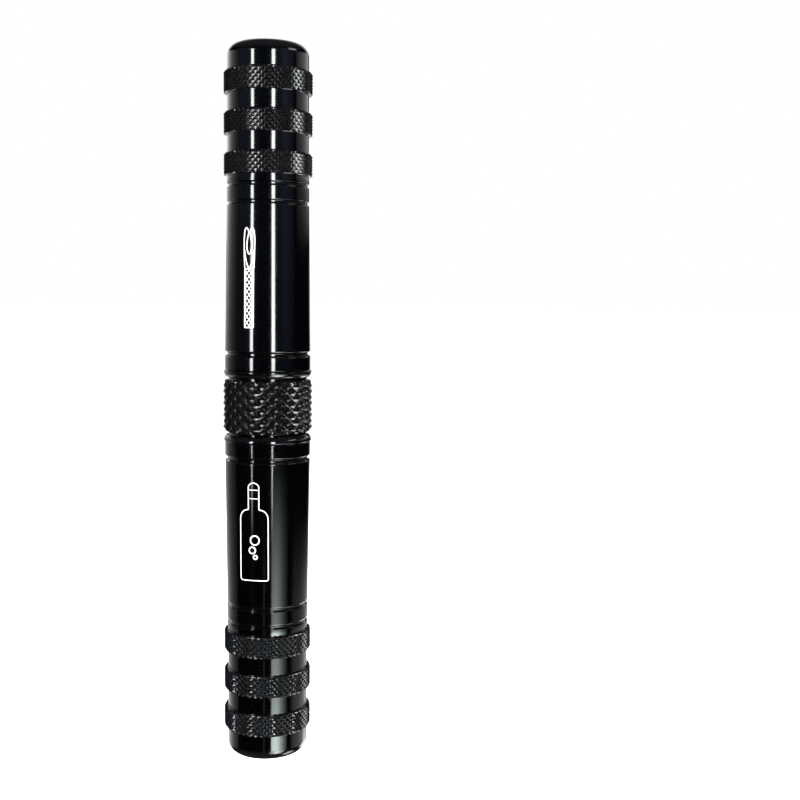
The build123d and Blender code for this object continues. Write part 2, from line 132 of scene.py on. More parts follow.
def eased(corners, size=0.1, steps=3):
    """Polyline of (radius, height) corners, each rounded; a corner's own size may follow it."""
    points = []
    last = len(corners) - 1
    for index, corner in enumerate(corners):
        here = np.array(corner[:2], float)
        ease = corner[2] if len(corner) > 2 else size
        if index in (0, last) or ease == 0:
            points.append(tuple(here))
            continue
        before = np.array(corners[index - 1][:2], float) - here
        after = np.array(corners[index + 1][:2], float) - here
        reach_before, reach_after = np.hypot(*before), np.hypot(*after)
        if min(reach_before, reach_after) < TINY:
            continue
        before, after = before / reach_before, after / reach_after
        angle = np.arccos(np.clip(before @ after, -1, 1))
        if angle > NEARLY_STRAIGHT:
            points.append(tuple(here))
            continue
        most = CORNER_SHARE * min(reach_before, reach_after)
        setback = min(ease / tan(angle / 2), most)
        radius = setback * tan(angle / 2)
        middle = (before + after) / np.hypot(*(before + after))
        centre = here + middle * radius / sin(angle / 2)
        start = here + before * setback - centre
        end = here + after * setback - centre
        sweep = np.arccos(np.clip(start @ end / radius**2, -1, 1))
        count = max(1, round(steps * sweep / (pi / 2)))
        if FREE_SHARE * reach_before > setback + GUARD_ROOM:
            points.append(tuple(here + before * (setback + GUARD)))
        for step in range(count + 1):
            part = step / count
            turn = (sin((1 - part) * sweep) * start + sin(part * sweep) * end) / sin(sweep)
            points.append(tuple(centre + turn))
        if FREE_SHARE * reach_after > setback + GUARD_ROOM:
            points.append(tuple(here + after * (setback + GUARD)))
    return points


def columns_of(count):
    """Angles of a turned mesh's columns."""
    return np.arange(count) * 2 * pi / count


def turned(name, rows, count, closed=False, flip=False, half=0):
    """Turned mesh from rows of (radius or radii, height) and, on a knurl, how much its points are
    painted lighter, partly as wear and partly as painted highlight.
    half is how many rows make half a knurl pitch, so that the cells' diagonals follow the knurl's
    valleys."""
    angles = columns_of(count)
    vertices, first, width, wear_and_sheen = [], [], [], []
    for radius, height, *wear_and_sheen_input in rows:
        radii = np.broadcast_to(np.asarray(radius, float), (count,))
        first.append(len(vertices))
        if radii.max() < TINY:
            vertices.append((0, 0, height))
            width.append(1)
        else:
            vertices.extend(zip(radii * np.cos(angles), radii * np.sin(angles), [height] * count))
            width.append(count)
        wear_and_sheen.extend(wear_and_sheen_input[0] if wear_and_sheen_input else [0.0] * width[-1])
    faces = []
    pairs = list(zip(range(len(rows)), range(1, len(rows))))
    if closed:
        pairs.append((len(rows) - 1, 0))
    for low, high in pairs:
        knurled = half and np.ndim(rows[low][0]) and np.ndim(rows[high][0])
        for column in range(count):
            right = (column + 1) % count
            if width[low] == 1 and width[high] == 1:
                continue
            if width[low] == 1:
                faces.append((first[low], first[high] + right, first[high] + column))
                continue
            if width[high] == 1:
                faces.append((first[low] + column, first[low] + right, first[high]))
                continue
            a, b = first[low] + column, first[low] + right
            c, d = first[high] + right, first[high] + column
            if not knurled:
                faces.append((a, b, c, d))
            elif (column - low) % half == 0:
                faces.extend(((a, b, c), (a, c, d)))
            else:
                faces.extend(((a, b, d), (b, c, d)))
    if flip:
        vertices = [(x, -y, -z) for x, y, z in vertices]
    piece = mesh_object(name, vertices, faces)
    piece.data.attributes.new("wear_and_sheen", "FLOAT", "POINT").data.foreach_set("value", wear_and_sheen)
    return piece


def new_object(name, data):
    """New object in the scene."""
    thing = bpy.data.objects.new(name, data)
    bpy.context.scene.collection.objects.link(thing)
    return thing


def mesh_object(name, vertices, faces, sharp=30.0):
    """Smooth-shaded object in metres from millimetre points, with its normals turned outwards and
    its edges over sharp degrees kept sharp."""
    mesh = bpy.data.meshes.new(name)
    mesh.from_pydata([(x * MM, y * MM, (z + HUB_CENTRE) * MM) for x, y, z in vertices], [], faces)
    work = bmesh.new()
    work.from_mesh(mesh)
    bmesh.ops.recalc_face_normals(work, faces=work.faces)
    work.to_mesh(mesh)
    work.free()
    for polygon in mesh.polygons:
        polygon.use_smooth = True
    mesh.set_sharp_from_angle(angle=radians(sharp))
    return new_object(name, mesh)


def prism(name, near, far):
    """Closed solid between two outlines with the same number of points."""
    size = len(near)
    ends = [tuple(range(size)), tuple(range(2 * size - 1, size - 1, -1))]
    steps = [(step, (step + 1) % size) for step in range(size)]
    sides = [(here, after, size + after, size + here) for here, after in steps]
    return mesh_object(name, near + far, ends + sides)


def diamonds(angles, height, count, pitch, round_off):
    """Crossed 45 degree knurl: 0 on the pyramids' tips, 1 in the valleys, and where it is painted
    lighter, partly as wear and partly as painted highlight. round_off is how far the tips and the
    ridges are rounded off, from 0 to 1."""
    along = height / pitch
    across = angles * count / (2 * pi)
    rise = 2 * np.abs((across + along) % 1 - 0.5)
    fall = 2 * np.abs((across - along) % 1 - 0.5)
    sharp = np.maximum(rise, fall)
    ridge_power, tip_power = 4, 1.45
    soft = (rise**ridge_power + fall**ridge_power) ** (1 / ridge_power)
    soft = np.minimum(soft, 1.0) ** tip_power
    # painted lighter, partly wear and partly painted highlight, over the lowest fifth, less so, and
    # over the top quarter
    wear_and_sheen = 0.6 * np.clip(5 * sharp - 4, 0, 1) + np.clip(1 - 4 * sharp, 0, 1)
    return sharp + (soft - sharp) * round_off, wear_and_sheen


def helix_rows(crest, depth, bottom, top, pitch, count, outwards=False, turn=0.0):
    """Rows of a right-hand V thread between two heights, running out softly at both ends."""
    steps, flank, run_out = 12, 2.5, 0.8
    number = round((top - bottom) / pitch * steps)
    angles = columns_of(count)
    rows = []
    for index in range(number + 1):
        height = bottom + (top - bottom) * index / number
        phase = (height / pitch - angles / (2 * pi) + turn) % 1
        cut = np.clip(flank / 2 - flank * np.abs(phase - 0.5), 0.0, 1.0)
        full = min(1.0, (height - bottom) / (run_out * pitch), (top - height) / (run_out * pitch))
        change = depth * cut * max(full, 0.0)
        rows.append((crest + change if outwards else crest - change, height))
    return rows


# ---- tube ----
def ring_rows(start):
    """Rows of one knurled ring, its closed-end edge bevelled."""
    angles = columns_of(TUBE_COLUMNS)
    top = start + RING_HEIGHT
    rows = []
    number = int(RING_HEIGHT / FINE_PITCH * FINE_STEPS)
    heights = [start + index * FINE_PITCH / FINE_STEPS for index in range(number + 1)] + [top]
    for height in heights:
        over = max(0.0, RING_BEVEL - (top - height)) / RING_BEVEL
        limit = RING_RADIUS - RING_BEVEL * (1 - sqrt(1 - 0.98 * over**2))
        limit -= max(0.0, 0.1 - (height - start))
        cut, wear_and_sheen = diamonds(angles, height - start, FINE_COUNT, FINE_PITCH, FINE_ROUND)
        floor = PLAIN_RADIUS + 0.06
        rows.append((np.maximum(limit - FINE_DEPTH * cut, floor), height, wear_and_sheen))
    return rows


def narrow_groove(height):
    """Corners of a narrow groove above the given height."""
    bottom = WAIST[1] - NARROW_GROOVE
    return [
        (WAIST[1], height, 0.45),
        (bottom, height + 0.36, 0.12),
        (bottom, height + 0.84, 0.12),
        (WAIST[1], height + 1.2, 0.12),
    ]


def tube_rows():
    """Outside of a tube from its mouth to its closed end, then its inside back to the mouth."""
    rows = eased(
        [
            (TUBE_CREST, FLANGE_HALF + 0.3, 0),
            (BOSS_CREST + 0.38, FLANGE_HALF + 0.05),
            (12.5, FLANGE_HALF + 0.05),
            (12.62, FLANGE_HALF + 0.2),
            (MOUTH_RADIUS, FLANGE_HALF + 0.2, 0.12),
            (MOUTH_RADIUS, 15.35, 0.35),
            (MOUTH_RADIUS - WIDE_GROOVE, 15.83, 0.15),
            (MOUTH_RADIUS - WIDE_GROOVE, 16.47, 0.15),
            (SHOULDER[1], SHOULDER[0], 0.35),
            *narrow_groove(WAIST[0]),
            *narrow_groove(66.9),
            (WAIST[1], 69.0, 0),
        ]
    )
    for start in RING_STARTS:
        rows += [(PLAIN_RADIUS, start - RING_FOOT), (PLAIN_RADIUS + RING_FOOT, start)]
        rows += ring_rows(start)
        rows += [(PLAIN_RADIUS + 0.1, start + RING_HEIGHT + 0.01)]
        rows += [(PLAIN_RADIUS, start + RING_HEIGHT + RING_FOOT)]
    end = [(PLAIN_RADIUS, END_RUN, 0), (END_RADIUS, TUBE_END, END_EDGE), (0, TUBE_END)]
    rows += eased(end, steps=14)
    rows += eased([(0, TUBE_BASE), (BORE_RADIUS, TUBE_BASE, 0.8), (BORE_RADIUS, 21.2, 0)], steps=5)
    inner = helix_rows(
        TUBE_CREST, 0.25, THREAD_FOOT, 20.5, THREAD_PITCH, TUBE_COLUMNS, outwards=True
    )
    rows += [(TUBE_CREST, 20.9)] + inner[::-1]
    seal_groove = 12.5
    rows += [(TUBE_CREST, 13.475), (seal_groove, 13.47), (seal_groove, 12.33), (TUBE_CREST, 12.325)]
    return rows


def wall_radius(height):
    """Outer radius of a tube's long plain wall at a height from the hub's centre."""
    part = (abs(height) - SHOULDER[0]) / (WAIST[0] - SHOULDER[0])
    return SHOULDER[1] + (WAIST[1] - SHOULDER[1]) * part


# ---- marks on the tubes ----
MARK_LIFT = 0.018  # a line's outer face above the wall
MARK_LAYERS = 12  # crossing lines lie on different layers
MARK_LAYER = 0.0012
MARK_SINK = -0.05  # a line's inner face, in the wall


def strokes(name, lines, azimuth, top, width):
    """White lines on a tube's wall. Each line is (points, closed, width factor), in millimetres
    across and down from the mark's top middle, and becomes a thin closed band."""
    vertices, faces = [], []
    for number, (points, closed, weight) in enumerate(lines):
        outline = np.array(points, float)
        half = width * weight / 2
        size = len(outline)
        lift = MARK_LIFT + MARK_LAYER * (number % MARK_LAYERS)
        first = len(vertices)
        for index in range(size):
            before = outline[index - 1] if closed or index else outline[index]
            after = outline[(index + 1) % size] if closed or index < size - 1 else outline[index]
            along = after - before
            along = along / max(np.hypot(*along), TINY)
            side = np.array((-along[1], along[0])) * half
            for sign, out in ((1, lift), (-1, lift), (-1, MARK_SINK), (1, MARK_SINK)):
                across, down = outline[index] + sign * side
                height = top - down
                radius = wall_radius(height)
                angle = azimuth + across / radius
                radius += out
                vertices.append((radius * sin(angle), -radius * cos(angle), height))
        steps = size if closed else size - 1
        for index in range(steps):
            a, b = first + 4 * index, first + 4 * ((index + 1) % size)
            for corner in range(4):
                other = (corner + 1) % 4
                faces.append((a + corner, a + other, b + other, b + corner))
        if not closed:
            end = first + 4 * (size - 1)
            faces.append((first + 3, first + 2, first + 1, first))
            faces.append((end, end + 1, end + 2, end + 3))
    return mesh_object(name, vertices, faces, sharp=20.0)


def curve(points, steps=8):
    """Smooth line through a few points (Catmull-Rom)."""
    ends = np.array([points[0], *points, points[-1]], float)
    line = []
    for index in range(1, len(ends) - 2):
        p0, p1, p2, p3 = ends[index - 1 : index + 3]
        for step in range(steps):
            t = step / steps
            square = (2 * p0 - 5 * p1 + 4 * p2 - p3) * t**2
            cube = (3 * p1 - p0 - 3 * p2 + p3) * t**3
            line.append(0.5 * (2 * p1 + (p2 - p0) * t + square + cube))
    line.append(ends[-2])
    return [tuple(point) for point in line]


def circle(across, down, radius, steps=28):
    """Closed round line."""
    turns = [2 * pi * step / steps for step in range(steps)]
    return [(across + radius * cos(turn), down + radius * sin(turn)) for turn in turns]


def straight(start, end, steps=6):
    """Line between two points, cut up so that it bends round the tube."""
    return [
        tuple(np.array(start) + (np.array(end) - np.array(start)) * step / steps)
        for step in range(steps + 1)
    ]


def fork_mark():
    """Outline of a split-eye plug fork with a twisted shank, top first."""
    lines = []
    for side in (-1, 1):
        outer = [(1.5, 12.2), (1.68, 8.5), (1.74, 5.0), (1.68, 2.4), (1.4, 0.8), (0.92, 0.2)]
        outer += [(0.5, 0.6), (0.22, 1.3), (0.2, 1.6)]
        eye = [(0.06, 1.4), (0.4, 2.6), (0.7, 4.1), (0.82, 5.5), (0.66, 6.8), (0.36, 7.7)]
        eye += [(0.0, 8.1)]
        spear = [(1.55, 6.8), (1.28, 8.8), (0.86, 10.5), (0.42, 11.7), (0.0, 12.1)]
        for points in (outer, eye, spear):
            lines.append((curve([(side * across, down) for across, down in points]), False, 1.0))
    half, top, bottom = 1.42, 12.4, 29.9
    for side in (-1, 1):
        lines.append((straight((side * half, top), (side * half, bottom), 4), False, 1.0))
    lines.append((straight((-half, top), (half, top)), False, 1.1))
    lines.append((straight((-half, bottom), (half, bottom)), False, 1.1))
    pitch, slope = 1.85, 1.42  # of the crossed lines that stand for the twisted shank
    shortest = 0.3
    count = int((bottom - top + 4 * slope * half) / pitch)
    for direction in (-1, 1):
        for index in range(-1, count):
            middle = top - slope * half + 0.5 + index * pitch
            ends = []
            for across in (-half, half):
                down = middle + direction * slope * across
                inside = min(max(down, top), bottom)
                ends.append(((inside - middle) / (direction * slope), inside))
            if abs(ends[0][0]) <= half + TINY and abs(ends[1][0]) <= half + TINY:
                if hypot(ends[1][0] - ends[0][0], ends[1][1] - ends[0][1]) > shortest:
                    lines.append((straight(*ends, 4), False, 0.6))
    return lines


def cartridge_mark():
    """Outline of a gas cartridge with three bubbles in it."""
    neck, body = 1.68, 4.5
    half = [(0.0, 0.2), (0.4, 0.26), (0.9, 0.5), (1.35, 0.82), (neck - 0.1, 1.15), (neck, 1.4)]
    half += [(neck, 4.0), (neck, 6.5), (neck, 8.4)]
    inner, foot, rise = neck + 0.25, 8.5, 2.9  # of the round shoulder
    for step in range(9):
        turn = pi / 2 * step / 8
        half.append((inner + (body - neck - 0.25) * sin(turn), foot + rise * (1 - cos(turn))))
    half += [(body, 15.0), (body, 20.0), (body, 25.0), (body, 29.8), (body - 0.18, 30.2)]
    half += [(body - 0.6 - 0.5 * step, 30.38) for step in range(8)]
    outline = half + [(-across, down) for across, down in reversed(half[1:])]
    lines = [(outline, True, 1.0)]
    for down in (2.4, 5.05):
        lines.append((straight((-neck, down), (neck, down), 8), False, 0.7))
    lines.append((circle(0.35, 17.9, 1.4), True, 1.3))
    lines.append((circle(-0.45, 21.0, 1.0), True, 1.3))
    lines.append((circle(0.5, 23.1, 0.6), True, 1.3))
    return lines


# ---- hub ----
def collar_rows():
    """Rows of the collar's coarse knurl, from its top to its bottom, with round ends."""
    angles = columns_of(HUB_COLUMNS)
    pitch = 2 * COLLAR_HALF * COARSE_STEPS / COLLAR_ROWS
    rows = []
    for index in range(COLLAR_ROWS + 1):
        height = COLLAR_HALF - 2 * COLLAR_HALF * index / COLLAR_ROWS
        over = max(0.0, abs(height) - (COLLAR_HALF - COLLAR_EDGE)) / COLLAR_EDGE
        limit = COLLAR_RADIUS - COLLAR_EDGE * (1 - sqrt(1 - 0.97 * over**2))
        cut, wear_and_sheen = diamonds(angles, height - COLLAR_HALF, COARSE_COUNT, pitch, COARSE_ROUND)
        rows.append((np.maximum(limit - COARSE_DEPTH * cut, COLLAR_FLOOR), height, wear_and_sheen))
    return rows


def boss_rows(side):
    """Outside of one boss from its end to the collar's side (side is 1 up, -1 down)."""
    bevel = 19.25
    start = 0.0 if side > 0 else 0.5
    thread = helix_rows(BOSS_CREST, 0.55, THREAD_FOOT, 19.2, THREAD_PITCH, HUB_COLUMNS, turn=start)
    rows = [(BOSS_CREST - 0.6, BOSS_END), (BOSS_CREST - 0.35, bevel)]
    rows += [(np.minimum(r, BOSS_CREST - 0.3 + (bevel - h)), h) for r, h in reversed(thread)]
    face = [(BOSS_CREST, 14.0, 0), (BOSS_CREST, FLANGE_HALF, 0.2), (13.05, FLANGE_HALF, 0)]
    rows += eased(face)
    rows += [(13.2, 10.98), (13.36, 10.93), (13.47, 10.85), (13.53, 10.77)]
    for step in range(13):
        turn = pi / 2 * step / 12
        radius = NECK_RADIUS + (FLANGE_RADIUS - NECK_RADIUS) * cos(turn)
        rows.append((radius, FLANGE_LAND - (FLANGE_LAND - NECK_HALF) * sin(turn)))
    rows += [(NECK_RADIUS, 8.5), (NECK_RADIUS, 8.12)]
    return [(radius, side * height) for radius, height in rows]


def hub_rows():
    """Closed loop of the hub's half section: outside down, inside up."""
    rows = boss_rows(1) + collar_rows() + boss_rows(-1)[::-1]
    socket, pin_seat, passage, nozzle_seat, seal_groove = 4.8, 4.03, 0.8, 5.03, 6.7
    pin_foot, pin_top, nozzle_foot, groove_foot = -10.6, -7.0, 10.0, 18.3
    rows += [(socket + 0.8, -BOSS_END), (socket, -18.7)]
    rows += helix_rows(socket, 0.35, -18.6, -11.2, UNF_PITCH, HUB_COLUMNS, outwards=True)
    inside = [(socket, -11.0, 0), (socket, pin_foot, 0), (pin_seat, pin_foot, 0)]
    inside += [(pin_seat, pin_top, 0.05), (passage, pin_top, 0.05), (passage, 3.0, 0.05)]
    inside += [(VALVE_BORE, 3.0, 0.1), (VALVE_BORE, nozzle_foot, 0.05)]
    inside += [(nozzle_seat, nozzle_foot, 0.05), (nozzle_seat, groove_foot, 0.05)]
    inside += [(seal_groove, groove_foot, 0.05), (seal_groove, BOSS_END, 0.05), (8.0, BOSS_END, 0)]
    return rows + eased(inside)


# ---- materials ----
FINE_GRAIN, FINE_BUMP = 26000.0, 0.0000012  # the surface's finest unevenness
LATHE_MARKS = (60.0, 60.0, 9000.0)  # stretches a noise into turning marks
DRAWN_MARKS = (7000.0, 7000.0, 90.0)  # stretches a noise into lines along the axis


def add_node(tree, kind, inputs=None, **settings):
    """New node with its inputs set, or joined where the value is another node's output."""
    node = tree.nodes.new(kind)
    for key, value in settings.items():
        setattr(node, key, value)
    for key, value in (inputs or {}).items():
        if isinstance(value, bpy.types.NodeSocket):
            tree.links.new(value, node.inputs[key])
        else:
            node.inputs[key].default_value = value
    return node


class Nodes:
    """Short way to add and join a material's nodes."""

    def __init__(self, name):
        self.material = bpy.data.materials.new(name)
        self.material.use_nodes = True
        self.tree = self.material.node_tree
        self.shader = self.tree.nodes["Principled BSDF"]
        self.place = self.add("ShaderNodeTexCoord").outputs["Object"]

    def add(self, kind, inputs=None, **settings):
        """New node in this material."""
        return add_node(self.tree, kind, inputs, **settings)

    def scaled(self, x, y, z):
        """Object coordinates stretched along each axis."""
        return self.add("ShaderNodeMapping", {"Vector": self.place, "Scale": (x, y, z)}).outputs[0]

    def noise(self, scale, detail, vector=None):
        """Noise value at a scale per metre."""
        inputs = {"Vector": vector or self.place, "Scale": scale, "Detail": detail}
        return self.add("ShaderNodeTexNoise", inputs).outputs["Fac"]

    def span(self, value, low, high, start=0.3, end=0.7):
        """Value mapped from start..end to low..high."""
        inputs = {"Value": value, "From Min": start, "From Max": end, "To Min": low, "To Max": high}
        return self.add("ShaderNodeMapRange", inputs).outputs[0]

    def blend(self, factor, first, second):
        """Mix of two colours."""
        node = self.add("ShaderNodeMix", data_type="RGBA")
        self.tree.links.new(factor, node.inputs[0])
        for socket, colour in ((node.inputs[6], first), (node.inputs[7], second)):
            if isinstance(colour, bpy.types.NodeSocket):
                self.tree.links.new(colour, socket)
            else:
                socket.default_value = (*colour, 1)
        return node.outputs[2]

    def bump(self, height, distance, strength=1.0, below=None):
        """Bump from a height value."""
        inputs = {"Height": height, "Distance": distance, "Strength": strength}
        if below is not None:
            inputs["Normal"] = below
        return self.add("ShaderNodeBump", inputs).outputs[0]

    def into(self, **sockets):
        """Set or join the shader's inputs, named with _ for a space."""
        for key, value in sockets.items():
            socket = self.shader.inputs[key.replace("_", " ")]
            if isinstance(value, bpy.types.NodeSocket):
                self.tree.links.new(value, socket)
            else:
                socket.default_value = value
        return self.material


def metal(name, dark, light, rough, turning=0.0, drawn=0.0, grain=900.0):
    """Worked metal: two near tones, uneven gloss, and fine marks round (turning) or along (drawn)
    the axis."""
    nodes = Nodes(name)
    tone = nodes.span(nodes.noise(grain, 5.0), 0.0, 1.0)
    colour = nodes.blend(tone, dark, light)
    gloss = nodes.span(nodes.noise(grain * 0.6, 5.0), rough * 0.93, rough * 1.1)
    normal = nodes.bump(nodes.noise(FINE_GRAIN, 2.0), FINE_BUMP)
    if turning:
        rings = nodes.noise(1.0, 2.0, nodes.scaled(*LATHE_MARKS))
        normal = nodes.bump(rings, turning, 1.0, normal)
    if drawn:
        lines = nodes.noise(1.0, 3.0, nodes.scaled(*DRAWN_MARKS))
        normal = nodes.bump(lines, drawn, 1.0, normal)
    return nodes.into(Base_Color=colour, Roughness=gloss, Metallic=1.0, Normal=normal)


def anodised(name):
    """Glossy black anodising: nearly no colour of its own, a trace of turning marks, and a knurl
    that is greyer and duller on its tips and down its valleys: partly wear, partly a painted
    highlight for the thin lines of light that the knurl mirrors."""
    nodes = Nodes(name)
    tone = nodes.span(nodes.noise(900.0, 5.0), 0.0, 1.0)
    colour = nodes.blend(tone, (0.0002, 0.00024, 0.0004), (0.0005, 0.0006, 0.0009))
    wear_and_sheen_input = nodes.add("ShaderNodeAttribute", attribute_name="wear_and_sheen").outputs["Fac"]
    patchy = nodes.span(nodes.noise(700.0, 3.0), 0.35, 1.0)
    part = nodes.add("ShaderNodeMath", {0: wear_and_sheen_input, 1: patchy}, operation="MULTIPLY").outputs[0]
    # lighter grey on the knurl's tips and valleys: partly wear, partly painted highlight for
    # mirrored light
    colour = nodes.blend(part, colour, (0.021, 0.02, 0.024))
    gloss = nodes.span(nodes.noise(315.0, 3.0), 0.075, 0.108)
    duller = {0: part, 1: 0.16, 2: gloss}
    gloss = nodes.add("ShaderNodeMath", duller, operation="MULTIPLY_ADD").outputs[0]
    normal = nodes.bump(nodes.noise(FINE_GRAIN, 2.0), FINE_BUMP)
    rings = nodes.noise(1.0, 2.0, nodes.scaled(*LATHE_MARKS))
    normal = nodes.bump(rings, FINE_BUMP, 1.0, normal)
    return nodes.into(Base_Color=colour, Roughness=gloss, Metallic=0.0, IOR=1.75, Normal=normal)


def rubber(name, dark, light, rough):
    """Moulded rubber with a soft, slightly dusty surface."""
    nodes = Nodes(name)
    dust = nodes.span(nodes.noise(1400.0, 6.0), 0.0, 1.0, 0.35, 0.75)
    colour = nodes.blend(dust, dark, light)
    gloss = nodes.span(nodes.noise(500.0, 3.0), rough * 0.85, min(rough * 1.15, 1.0))
    normal = nodes.bump(nodes.noise(9000.0, 3.0), 0.00001, 0.6)
    return nodes.into(Base_Color=colour, Roughness=gloss, Metallic=0.0, Normal=normal)


def laser_white(name):
    """Laser-bleached anodising: dull white with a fine fleck."""
    nodes = Nodes(name)
    fleck = nodes.span(nodes.noise(14000.0, 3.0), 0.0, 1.0, 0.3, 0.6)
    colour = nodes.blend(fleck, (0.86, 0.87, 0.88), (1.0, 1.0, 1.0))
    normal = nodes.bump(nodes.noise(20000.0, 2.0), 0.000003, 0.5)
    return nodes.into(Base_Color=colour, Roughness=0.75, Metallic=0.0, Normal=normal)


black = anodised("black_anodised")
silver = metal("silver_aluminium", (0.62, 0.63, 0.65), (0.76, 0.77, 0.78), 0.24, turning=0.000004)
fork_steel = metal("fork_steel", (0.48, 0.48, 0.47), (0.60, 0.59, 0.58), 0.24, drawn=0.000005)
cartridge_steel = metal("cartridge_steel", (0.60, 0.61, 0.62), (0.68, 0.69, 0.70), 0.25,
                        turning=0.000002, drawn=0.000002)
cap_steel = metal("cap_steel", (0.40, 0.40, 0.39), (0.55, 0.55, 0.54), 0.3)
screw_steel = metal("screw_steel", (0.02, 0.02, 0.021), (0.05, 0.05, 0.052), 0.35)
spring_steel = metal("spring_steel", (0.45, 0.44, 0.42), (0.6, 0.59, 0.57), 0.25)
pin_steel = metal("pin_steel", (0.40, 0.40, 0.41), (0.55, 0.55, 0.56), 0.22, turning=0.000003)
brass = metal("valve_brass", (0.62, 0.42, 0.16), (0.75, 0.54, 0.24), 0.24, turning=0.000003)
seal_black = rubber("seal_rubber", (0.012, 0.012, 0.012), (0.03, 0.03, 0.031), 0.55)
pad_grey = rubber("pad_foam", (0.03, 0.03, 0.032), (0.06, 0.06, 0.063), 0.9)
white = laser_white("laser_mark")


def finish_piece(piece, material, body, slot, *nodes):
    """Give a piece its material and body and hide the CAD nodes that it stands for; slot is not
    used.
    """
    piece.data.materials.clear()
    piece.data.materials.append(material)
    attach(piece, body)
    if nodes:
        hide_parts(*nodes)


# ---- pieces ----
for side, flip in (("upper", False), ("lower", True)):
    tube = turned(f"{side}_tube_knurled", tube_rows(), TUBE_COLUMNS, closed=True, flip=flip,
                  half=FINE_STEPS // 2)
    finish_piece(tube, black, f"{side}_cover", "black_anodised", f"{side}_tube")

# azimuth from the front, height of the top and line width of each mark
mark = strokes("upper_tube_fork_mark", fork_mark(), radians(-16.9), 54.3, 0.33)
finish_piece(mark, white, "upper_cover", "black_anodised")
mark = strokes("lower_tube_cartridge_mark", cartridge_mark(), radians(-10.2), -22.4, 0.28)
finish_piece(mark, white, "lower_cover", "black_anodised")

hub = turned("hub_knurled", hub_rows(), HUB_COLUMNS, closed=True, half=COARSE_STEPS // 2)
finish_piece(hub, black, "hub", "black_anodised", "hub")


def o_ring(name, middle, section, height, body, node, flip=False):
    """Moulded O-ring with the thin parting line of its mould round the outside and the inside."""
    steps, columns, flash, spread = 40, 160, 0.02, 0.12
    rows = []
    for step in range(steps):
        turn = 2 * pi * step / steps
        out = section / 2 - flash + flash * max(0.0, 1 - abs(sin(turn)) / spread)
        rows.append((middle + out * cos(turn), height + out * sin(turn)))
    ring = turned(name, rows, columns, closed=True, flip=flip)
    finish_piece(ring, seal_black, body, "seal_rubber", node)


o_ring("upper_tube_o_ring", 11.965, 0.95, 12.9, "upper_seal", "upper_tube_seal")
o_ring("lower_tube_o_ring", 11.965, 0.95, 12.9, "lower_seal", "lower_tube_seal", flip=True)
o_ring("nozzle_o_ring", 5.85, 1.1, 18.88, "hub", "nozzle_oring")
o_ring("holder_o_ring", 6.75, 1.24, 22.42, "holder_seal", "holder_oring")
o_ring("plunger_o_ring", 1.98, 0.9, 10.47, "hub", "plunger_seal")


def washer(name, outer, hole, foot, top, node):
    """Flat rubber washer: rounded edges and a raised sealing bead on both faces."""
    low, high, middle = foot + 0.1, top - 0.1, (outer + hole) / 2
    bead = [(hole + 0.1, 0.0), (middle - 0.32, 0.0), (middle - 0.14, 0.1), (middle + 0.14, 0.1)]
    bead += [(middle + 0.32, 0.0), (outer - 0.18, 0.0)]
    rows = [(outer - 0.05, low + 0.03), (outer, low + 0.16), (outer, high - 0.16)]
    rows += [(outer - 0.05, high - 0.03)] + [(radius, high + rise) for radius, rise in bead[::-1]]
    rows += [(hole + 0.03, high - 0.03), (hole, high - 0.12), (hole, low + 0.12)]
    rows += [(hole + 0.03, low + 0.03)] + [(radius, low - rise) for radius, rise in bead]
    piece = turned(name, rows, 128, closed=True)
    finish_piece(piece, seal_black, "hub", "seal_rubber", node)


washer("nozzle_washer", 3.85, 1.7, 20.0, 21.6, "nozzle_gasket")
washer("pin_washer", 4.0, 1.35, -10.6, -9.0, "pin_seal")


def nozzle_rows():
    """Closed loop of the nozzle's half section: foot, hexagon, threaded spout, valve socket and
    bore."""
    angles = columns_of(HUB_COLUMNS)
    flat, corner = 6.5, 7.42  # the hexagon's half width and cut corners
    foot, nut_top, neck, tip = 10.0, 21.5, 5.45, 29.5
    socket, bore = 3.9, 1.28
    hexagon = np.minimum(flat / np.cos(angles % (pi / 3) - pi / 6), corner)
    rows = eased([(2.75, foot, 0), (5.0, foot, 0.25), (5.0, BOSS_END, 0)])
    rows += [(5.2, BOSS_END), (6.75, BOSS_END), (np.minimum(hexagon, 7.0), 19.56)]
    rows += [(hexagon, 19.8), (hexagon, 21.16), (np.minimum(hexagon, 7.12), 21.36)]
    rows += [(np.minimum(hexagon, 6.82), nut_top), (6.6, nut_top), (5.5, nut_top)]
    rows += [(neck, nut_top + 0.05), (neck, 22.15)]
    thread = helix_rows(5.95, 0.45, 22.3, 28.9, THREAD_PITCH, HUB_COLUMNS)
    lead = [(np.minimum(r, neck + (h - 22.2) * 1.2), h) for r, h in thread]
    rows += [(np.minimum(r, 5.35 + (tip - h)), h) for r, h in lead]
    rows += [(5.55, 29.3), (5.38, 29.47), (5.3, tip), (4.5, tip), (4.38, 29.47), (3.92, 29.02)]
    rows += helix_rows(socket, 0.3, 21.9, 28.8, 0.8, HUB_COLUMNS, outwards=True)[::-1]
    inside = [(socket, 21.7, 0), (socket, 20.0, 0.05), (bore, 20.0, 0.08), (bore, 11.0, 0.08)]
    rows += eased(inside)[:-1]
    return rows + [(bore, 11.08), (1.36, 11.0), (2.68, 11.0), (2.7, 10.97), (2.7, 10.05)]


nozzle = turned("nozzle_threaded", nozzle_rows(), HUB_COLUMNS, closed=True)
finish_piece(nozzle, silver, "hub", "silver_aluminium", "nozzle")


